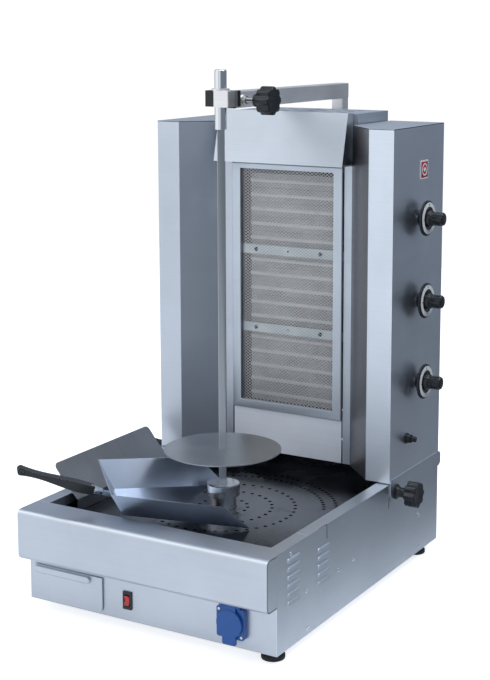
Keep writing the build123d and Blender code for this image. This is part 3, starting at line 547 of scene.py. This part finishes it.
plainParts = {  # node: finish
    "base_floor": "sheet", "drip_pan": "tray", "perforated_plate": "tray", "gearmotor": "casting",
    "front_panel": "frontSheet", "wing_right": "wing", "wing_caps": "cap", "skirts": "skirt",
    "side_strips": "sheet", "grease_drawer": "frontSheet", "hood": "sheet", "arm_tube": "tube",
    "tower_back": "sheet", "back_panel": "sheet", "base_sides": "baseSheet", "flue_box": "sheet",
    "burner_housings": "housing", "burner_straps": "zinc", "gas_manifold": "brass", "gas_valves": "brass",
    "socket_hinge_pin": "zinc", "badge": "white", "valve_spindle_1": "zinc", "valve_spindle_2": "zinc",
    "valve_spindle_3": "zinc",
}
for node, (finish, width) in easedParts.items():
    eased(node, finish, width)
for node, finish in plainParts.items():
    nodes[node].data.materials.clear()
    nodes[node].data.materials.append(finishes[finish])
print("cad parts finished")


# Expanded metal in the guard frame

expanded = {"cellWide": 8.0, "cellHigh": 5.8, "strand": 0.9, "depthShare": 0.3}
low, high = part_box("guard_mesh")
cellWide, cellHigh = expanded["cellWide"], expanded["cellHigh"]
strandGap = cellHigh / 2
columns = int((high.x - low.x) / mm / (cellWide / 2))
rows = int((high.z - low.z) / mm / strandGap)
startX = (low.x + high.x) / 2 / mm - columns * cellWide / 4
startZ = (low.z + high.z) / 2 / mm - (rows - 1) * strandGap / 2
thick = (high.y - low.y) / mm * expanded["depthShare"]
middleY = (low.y + high.y) / 2 / mm
guard = bmesh.new()
for phase in (1, -1):  # two strands that mirror each other, then copied upwards
    half = expanded["strand"] / 2
    strandZ = startZ + phase * cellHigh / 4
    section = [guard.verts.new(Vector((startX, middleY + y * thick, strandZ + z * half)) * mm)
               for y, z in ((-1, -1), (1, -1), (1, 1), (-1, 1))]
    ring = [guard.edges.new(pair) for pair in zip(section, section[1:] + section[:1])]
    if phase < 0:
        bmesh.ops.translate(guard, verts=section, vec=(0, 0, strandGap * mm))
    rise = -phase
    for column in range(columns):
        grown = bmesh.ops.extrude_edge_only(guard, edges=ring)["geom"]
        moved = [item for item in grown if isinstance(item, bmesh.types.BMVert)]
        ring = [item for item in grown if isinstance(item, bmesh.types.BMEdge)]
        bmesh.ops.translate(guard, verts=moved, vec=Vector((cellWide / 2, 0, rise * cellHigh / 2)) * mm)
        rise = -rise
pair = guard.verts[:] + guard.edges[:] + guard.faces[:]
for row in range(1, rows // 2):
    copied = bmesh.ops.duplicate(guard, geom=pair)["geom"]
    bmesh.ops.translate(guard, verts=[item for item in copied if isinstance(item, bmesh.types.BMVert)],
                        vec=(0, 0, row * cellHigh * mm))
bmesh.ops.holes_fill(guard, edges=[edge for edge in guard.edges if edge.is_boundary], sides=4)
bmesh.ops.recalc_face_normals(guard, faces=guard.faces)
keep(guard, "expandedMesh", "tower", "mesh", ["guard_mesh"], smooth=20)


# Ceramic burner faces: rows of tiles, each with a round ridge along its middle

tiles = {"burners": 3, "plaqueHigh": 139.0, "rows": 5, "edge": 0.8, "joint": 0.2, "ridge": 7.0, "ridgeRise": 3.0,
         "ridgeEdge": 0.6, "leftGap": 8.0, "rightGap": 1.0}
low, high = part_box("ceramic_plaques")
left, right = low.x / mm + tiles["leftGap"], high.x / mm - tiles["rightGap"]
burnerPitch = ((high.z - low.z) / mm - tiles["plaqueHigh"]) / (tiles["burners"] - 1)
tileHigh = tiles["plaqueHigh"] / tiles["rows"]
tileLong, ridgeRadius, ridgeEdge, joint = right - left, tiles["ridge"] / 2, tiles["ridgeEdge"], tiles["joint"]
tileShapes, ridgeShapes = [], []
for burner in range(tiles["burners"]):
    bottom = low.z / mm + burner * burnerPitch
    for row in range(tiles["rows"]):
        start = bottom + row * tileHigh
        tile = box((left, low.y / mm + tiles["ridgeRise"], start + joint),
                   (right, high.y / mm, start + tileHigh - joint))
        tileShapes.append(rounded(tile, tiles["edge"]))
        ridge = turned([(0, 0), (ridgeRadius - ridgeEdge, 0), (ridgeRadius, ridgeEdge),
                        (ridgeRadius, tileLong - ridgeEdge), (ridgeRadius - ridgeEdge, tileLong),
                        (0, tileLong)], segments=20)
        ridgeShapes.append(put(ridge, (left, low.y / mm + ridgeRadius, start + tileHigh / 2), axisX))
keep(join(tileShapes), "ceramicTiles", "tower", "ceramic", ["ceramic_plaques"])
keep(join(ridgeShapes), "ceramicRidges", "tower", "ridge")
print("burners ready")


# Screws

screws = {  # sizes are (radius, rise)
    "side": (4.0, 1.8),
    "sidePlaces": ((-195, 178), (-143, 98), (-140, 32), (-27, 95), (28, 96), (304, 94), (306, 32)),
    "strap": (4.4, 1.8),
    "strapX": 70,
    "strapHalf": 9,
    "back": (4, 1.8),
    "socket": (2.8, 1.3),
    "socketOffset": 20.8,
}
panelHalf = 249.5  # outer face of the base's sides


def screwHead(radius, rise):
    inner = radius * 0.36
    return turned([(radius, 0), (radius * 0.97, rise * 0.35), (radius * 0.8, rise * 0.75), (radius * 0.5, rise),
                   (inner, rise), (inner * 0.8, rise * 0.35), (0, rise * 0.3)], segments=20)


heads = [put(screwHead(*screws["side"]), (sign * panelHalf, y, z), (sign, 0, 0))
         for sign in (-1, 1) for y, z in screws["sidePlaces"]]
keep(join(heads), "panelScrews", "base", "chrome", ["base_screws"])

strapLow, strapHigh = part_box("burner_straps")
strapHeights = (strapLow.z / mm + screws["strapHalf"], strapHigh.z / mm - screws["strapHalf"])
heads = [put(screwHead(*screws["strap"]), (way * screws["strapX"], strapLow.y / mm, z), (0, -1, 0))
         for way in (-1, 1) for z in strapHeights]
keep(join(heads), "strapScrews", "tower", "nylon")

backRows = {  # piece: (node, body, x, heights)
    "towerBackScrews": ("tower_back", "tower", 235, (215, 420, 620, 810)),
    "backPanelScrews": ("back_panel", "base", 236, (40, 105, 165)),
}
for piece, (node, body, x, heights) in backRows.items():
    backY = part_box(node)[1].y / mm
    heads = [put(screwHead(*screws["back"]), (way * x, backY, z), (0, 1, 0)) for way in (-1, 1) for z in heights]
    keep(join(heads), piece, body, "chrome")

socketLow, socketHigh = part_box("socket_body")
socketX = (socketLow.x + socketHigh.x) / 2 / mm
socketFace, socketHeight = -250.0, 64
heads = [put(screwHead(*screws["socket"]), (socketX + offset, socketFace, socketHeight - offset), (0, -1, 0))
         for offset in (-screws["socketOffset"], screws["socketOffset"])]
keep(join(heads), "socketScrews", "base", "chrome")


# Painted shade: black plugs that darken the narrow slots in the base's sides

slotShade = {"inner": 3, "outer": 0.5, "play": 0.1, "edge": 0.2,
            "places": ((171, 156, 3, 21), (-71, 177, 2.5, 24))}  # y, z, wide, high
slotShapes = []
for sign in (-1, 1):
    near, far = sorted((sign * (panelHalf - slotShade["inner"]), sign * (panelHalf - slotShade["outer"])))
    for y, z, wide, tall in slotShade["places"]:
        halfWide, halfHigh = wide / 2 - slotShade["play"], tall / 2 - slotShade["play"]
        plug = box((near, y - halfWide, z - halfHigh), (far, y + halfWide, z + halfHigh))
        slotShapes.append(rounded(plug, slotShade["edge"]))
keep(join(slotShapes), "slotShadowPlugs", "base", "nylon")


# Gas knobs: skirted disc with a white dial ring and a ribbed grip

knob = {
    "profile": [(0, 42), (4.2, 42), (4.2, 0), (15, 0), (17, 1.5), (20, 10), (30.5, 10), (32.4, 10.8), (33, 12.4),
                (32.6, 14), (31, 15.4), (29.5, 16), (19, 16.4), (17.5, 15.6), (16.5, 14.9), (15.6, 15.2), (15.2, 17),
                (14.6, 23), (13.6, 24.5), (12.6, 25), (12.1, 26), (12.1, 27), (12.5, 28), (12.5, 42), (12.1, 44.6),
                (11, 46.2), (8.5, 47), (0, 47)],
    "ringIn": 21.6,
    "ringOut": 29.2,
    "ribs": 12,
    "ribDepth": 0.7,
    "ribStart": 27.5,
    "markStart": 22.4,
    "markHalf": 0.6,
    "marks": ((0, 5), (90, 3), (180, 3), (270, 3)),  # degrees, length
}
for number in (1, 2, 3):
    low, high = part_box(f"gas_knob_{number}")
    heightZ, depthY, foot = (low.z + high.z) / 2 / mm, (low.y + high.y) / 2 / mm, low.x / mm
    grip = turned(knob["profile"], segments=72)
    for vert in grip.verts:  # shallow ribs round the grip
        reach = vert.co.xy.length / mm
        if vert.co.z / mm > knob["ribStart"] and reach > 10:
            wave = 0.5 + 0.5 * cos(knob["ribs"] * atan2(vert.co.y, vert.co.x))
            vert.co.xy *= 1 - knob["ribDepth"] * wave / reach
    keep(put(grip, (foot, depthY, heightZ), axisX), f"gasKnob{number}", f"knob_{number}", "black",
         [f"gas_knob_{number}"])
    ring = turned([(knob["ringIn"], 16.1), (knob["ringIn"], 16.75), (knob["ringOut"], 16.45),
                   (knob["ringOut"], 15.9), (knob["ringIn"], 16.1)], segments=72)
    keep(put(ring, (foot, depthY, heightZ), axisX), f"dialRing{number}", f"knob_{number}", "white")
    marks = []
    for angle, long in knob["marks"]:
        tick = box((-knob["markHalf"], knob["markStart"], 16.5), (knob["markHalf"], knob["markStart"] + long, 17.0))
        bmesh.ops.rotate(tick, verts=tick.verts, cent=(0, 0, 0), matrix=Matrix.Rotation(radians(angle), 3, "Z"))
        marks.append(put(tick, (foot, depthY, heightZ), axisX))
    keep(join(marks), f"dialMarks{number}", f"knob_{number}", "nylon")
print("knobs ready")


# Star knobs of the clamps and of the arm lock

starShape = {"lobes": 8, "bite": 3.4, "edge": 2.2}


def starGrip(radius, depth):  # a scalloped disc with soft edges and a shallow dish on its end
    shape = bmesh.new()
    bmesh.ops.create_circle(shape, cap_ends=True, segments=starShape["lobes"] * 12, radius=radius * mm)
    for vert in shape.verts:
        wave = 0.5 - 0.5 * cos(starShape["lobes"] * atan2(vert.co.y, vert.co.x))
        vert.co.xy *= 1 - starShape["bite"] * wave ** 1.6 / radius
    grown = bmesh.ops.extrude_face_region(shape, geom=shape.faces[:])["geom"]
    bmesh.ops.translate(shape, verts=[item for item in grown if isinstance(item, bmesh.types.BMVert)],
                        vec=(0, 0, depth * mm))
    bmesh.ops.recalc_face_normals(shape, faces=shape.faces)
    caps = [face for face in shape.faces if len(face.verts) > 4]
    rims = {edge for face in caps for edge in face.edges}
    bmesh.ops.bevel(shape, geom=list(rims), offset=starShape["edge"] * mm, offset_type="OFFSET", affect="EDGES",
                    segments=4, profile=0.5, material=-1, clamp_overlap=True)
    top = max(shape.faces, key=lambda face: face.calc_center_median().z + face.calc_area())
    bmesh.ops.inset_region(shape, faces=[top], thickness=radius * 0.22 * mm, depth=-0.8 * mm)
    return shape


clamps = {"washer": 14.0, "neck": 9.0, "neckLong": 24.5, "grip": 24.0, "gripStart": 24, "gripDepth": 22,
          "reach": 46.0}
for name, sign in (("left", -1), ("right", 1)):
    node = f"clamp_knob_{name}"
    low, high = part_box(node)
    outer = (high.x if sign > 0 else low.x) / mm
    middle = ((low.y + high.y) / 2 / mm, (low.z + high.z) / 2 / mm)
    base = (outer - sign * clamps["reach"], *middle)
    washer = turned([(4, 0), (clamps["washer"], 0), (clamps["washer"], 2), (13.2, 2.8), (4, 2.8), (4, 0)])
    stud = turned([(0, -22), (3.4, -22), (4, -21), (4, 6), (0, 6)], segments=24)
    neck = turned([(0, 2.9), (11, 2.9), (11.6, 3.8), (10.4, 6), (clamps["neck"], 9),
                   (clamps["neck"], clamps["neckLong"]), (0, clamps["neckLong"])])
    keep(put(neck, base, (sign, 0, 0)), f"clampNeck{name.title()}", f"clamp_{name}", "black")
    keep(put(stud, base, (sign, 0, 0)), f"clampStud{name.title()}", f"clamp_{name}", "thread")
    keep(put(washer, base, (sign, 0, 0)), f"clampWasher{name.title()}", f"clamp_{name}", "nylon")
    star = starGrip(clamps["grip"], clamps["gripDepth"])
    bmesh.ops.translate(star, verts=star.verts, vec=(0, 0, clamps["gripStart"] * mm))
    keep(put(star, base, (sign, 0, 0)), f"clampStar{name.title()}", f"clamp_{name}", "black", [node])

armLock = {"screwX": 12.5, "starStart": 39.5, "starDepth": 26, "starRadius": 25, "neck": 11.5}
low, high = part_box("arm_lock_knob")
screwPlace = (armLock["screwX"], (low.y + high.y) / 2 / mm, (low.z + high.z) / 2 / mm)
rod = turned([(0, -2.1), (4.4, -2.1), (5, -1.2), (5, 28), (0, 28)], segments=28)
collar = turned([(5.1, 4.2), (8.4, 4.2), (8.8, 4.8), (8.8, 9), (8.2, 9.6), (5.1, 9.6), (5.1, 4.2)], segments=6)
keep(put(join([rod, collar]), screwPlace, axisX), "armScrew", "arm_lock", "thread")
neck = turned([(5, 26.5), (10.6, 26.5), (armLock["neck"], 27.4), (armLock["neck"], 34), (10.8, 36),
               (armLock["neck"], 38), (12, 40), (5, 40), (5, 26.5)])
keep(put(neck, screwPlace, axisX), "armKnobNeck", "arm_lock", "black")
star = starGrip(armLock["starRadius"], armLock["starDepth"])
bmesh.ops.translate(star, verts=star.verts, vec=(0, 0, armLock["starStart"] * mm))
keep(put(star, screwPlace, axisX), "armKnobStar", "arm_lock", "black", ["arm_lock_knob"])


# Ferrule between the scoop and its handle

scoop = {"place": (-110.5, -167.8, 196.6), "turns": (6.24, 7.18, 45.31), "handleStart": (-46, 0, 22), "rise": 13}
scoopTurn = Euler([radians(turn) for turn in scoop["turns"]]).to_matrix()
scoopFrame = Matrix.Translation(scoop["place"]) @ scoopTurn.to_4x4()
handleRise = radians(scoop["rise"])
alongHandle = (scoopTurn @ Vector((-cos(handleRise), 0, sin(handleRise)))).normalized()
ferrule = turned([(0, -16), (5.4, -16), (6, -15), (7.4, 1), (7.6, 6), (0, 6)], segments=32)
keep(put(ferrule, scoopFrame @ Vector(scoop["handleStart"]), alongHandle), "handleFerrule", "scoop", "chrome")


# Badge: a plain enamel square with a ring and a lozenge

badge = {"half": 14.5, "rise": 0.5, "markLow": 0.4, "markRise": 0.9, "ringIn": 9, "ringOut": 11.5, "lozenge": 5}
low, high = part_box("badge")
badgeMiddle = (high.x / mm, (low.y + high.y) / 2 / mm, (low.z + high.z) / 2 / mm)
half, markLow, markRise = badge["half"], badge["markLow"], badge["markRise"]
field = rounded(box((-half, -half, -0.2), (half, half, badge["rise"])), 0.25)
keep(put(field, badgeMiddle, axisX), "badgeField", "tower", "badgeRed")
emblem = join([
    turned([(badge["ringIn"], markLow), (badge["ringIn"], markRise), (badge["ringOut"], markRise),
            (badge["ringOut"], markLow), (badge["ringIn"], markLow)], segments=40),
    rounded(put(turned([(0, markLow), (badge["lozenge"], markLow), (badge["lozenge"], markRise), (0, markRise)],
                       segments=4), (0, 0, 0)), 0.15),
])
keep(put(emblem, badgeMiddle, axisX), "badgeEmblem", "tower", "white")
print("details ready")
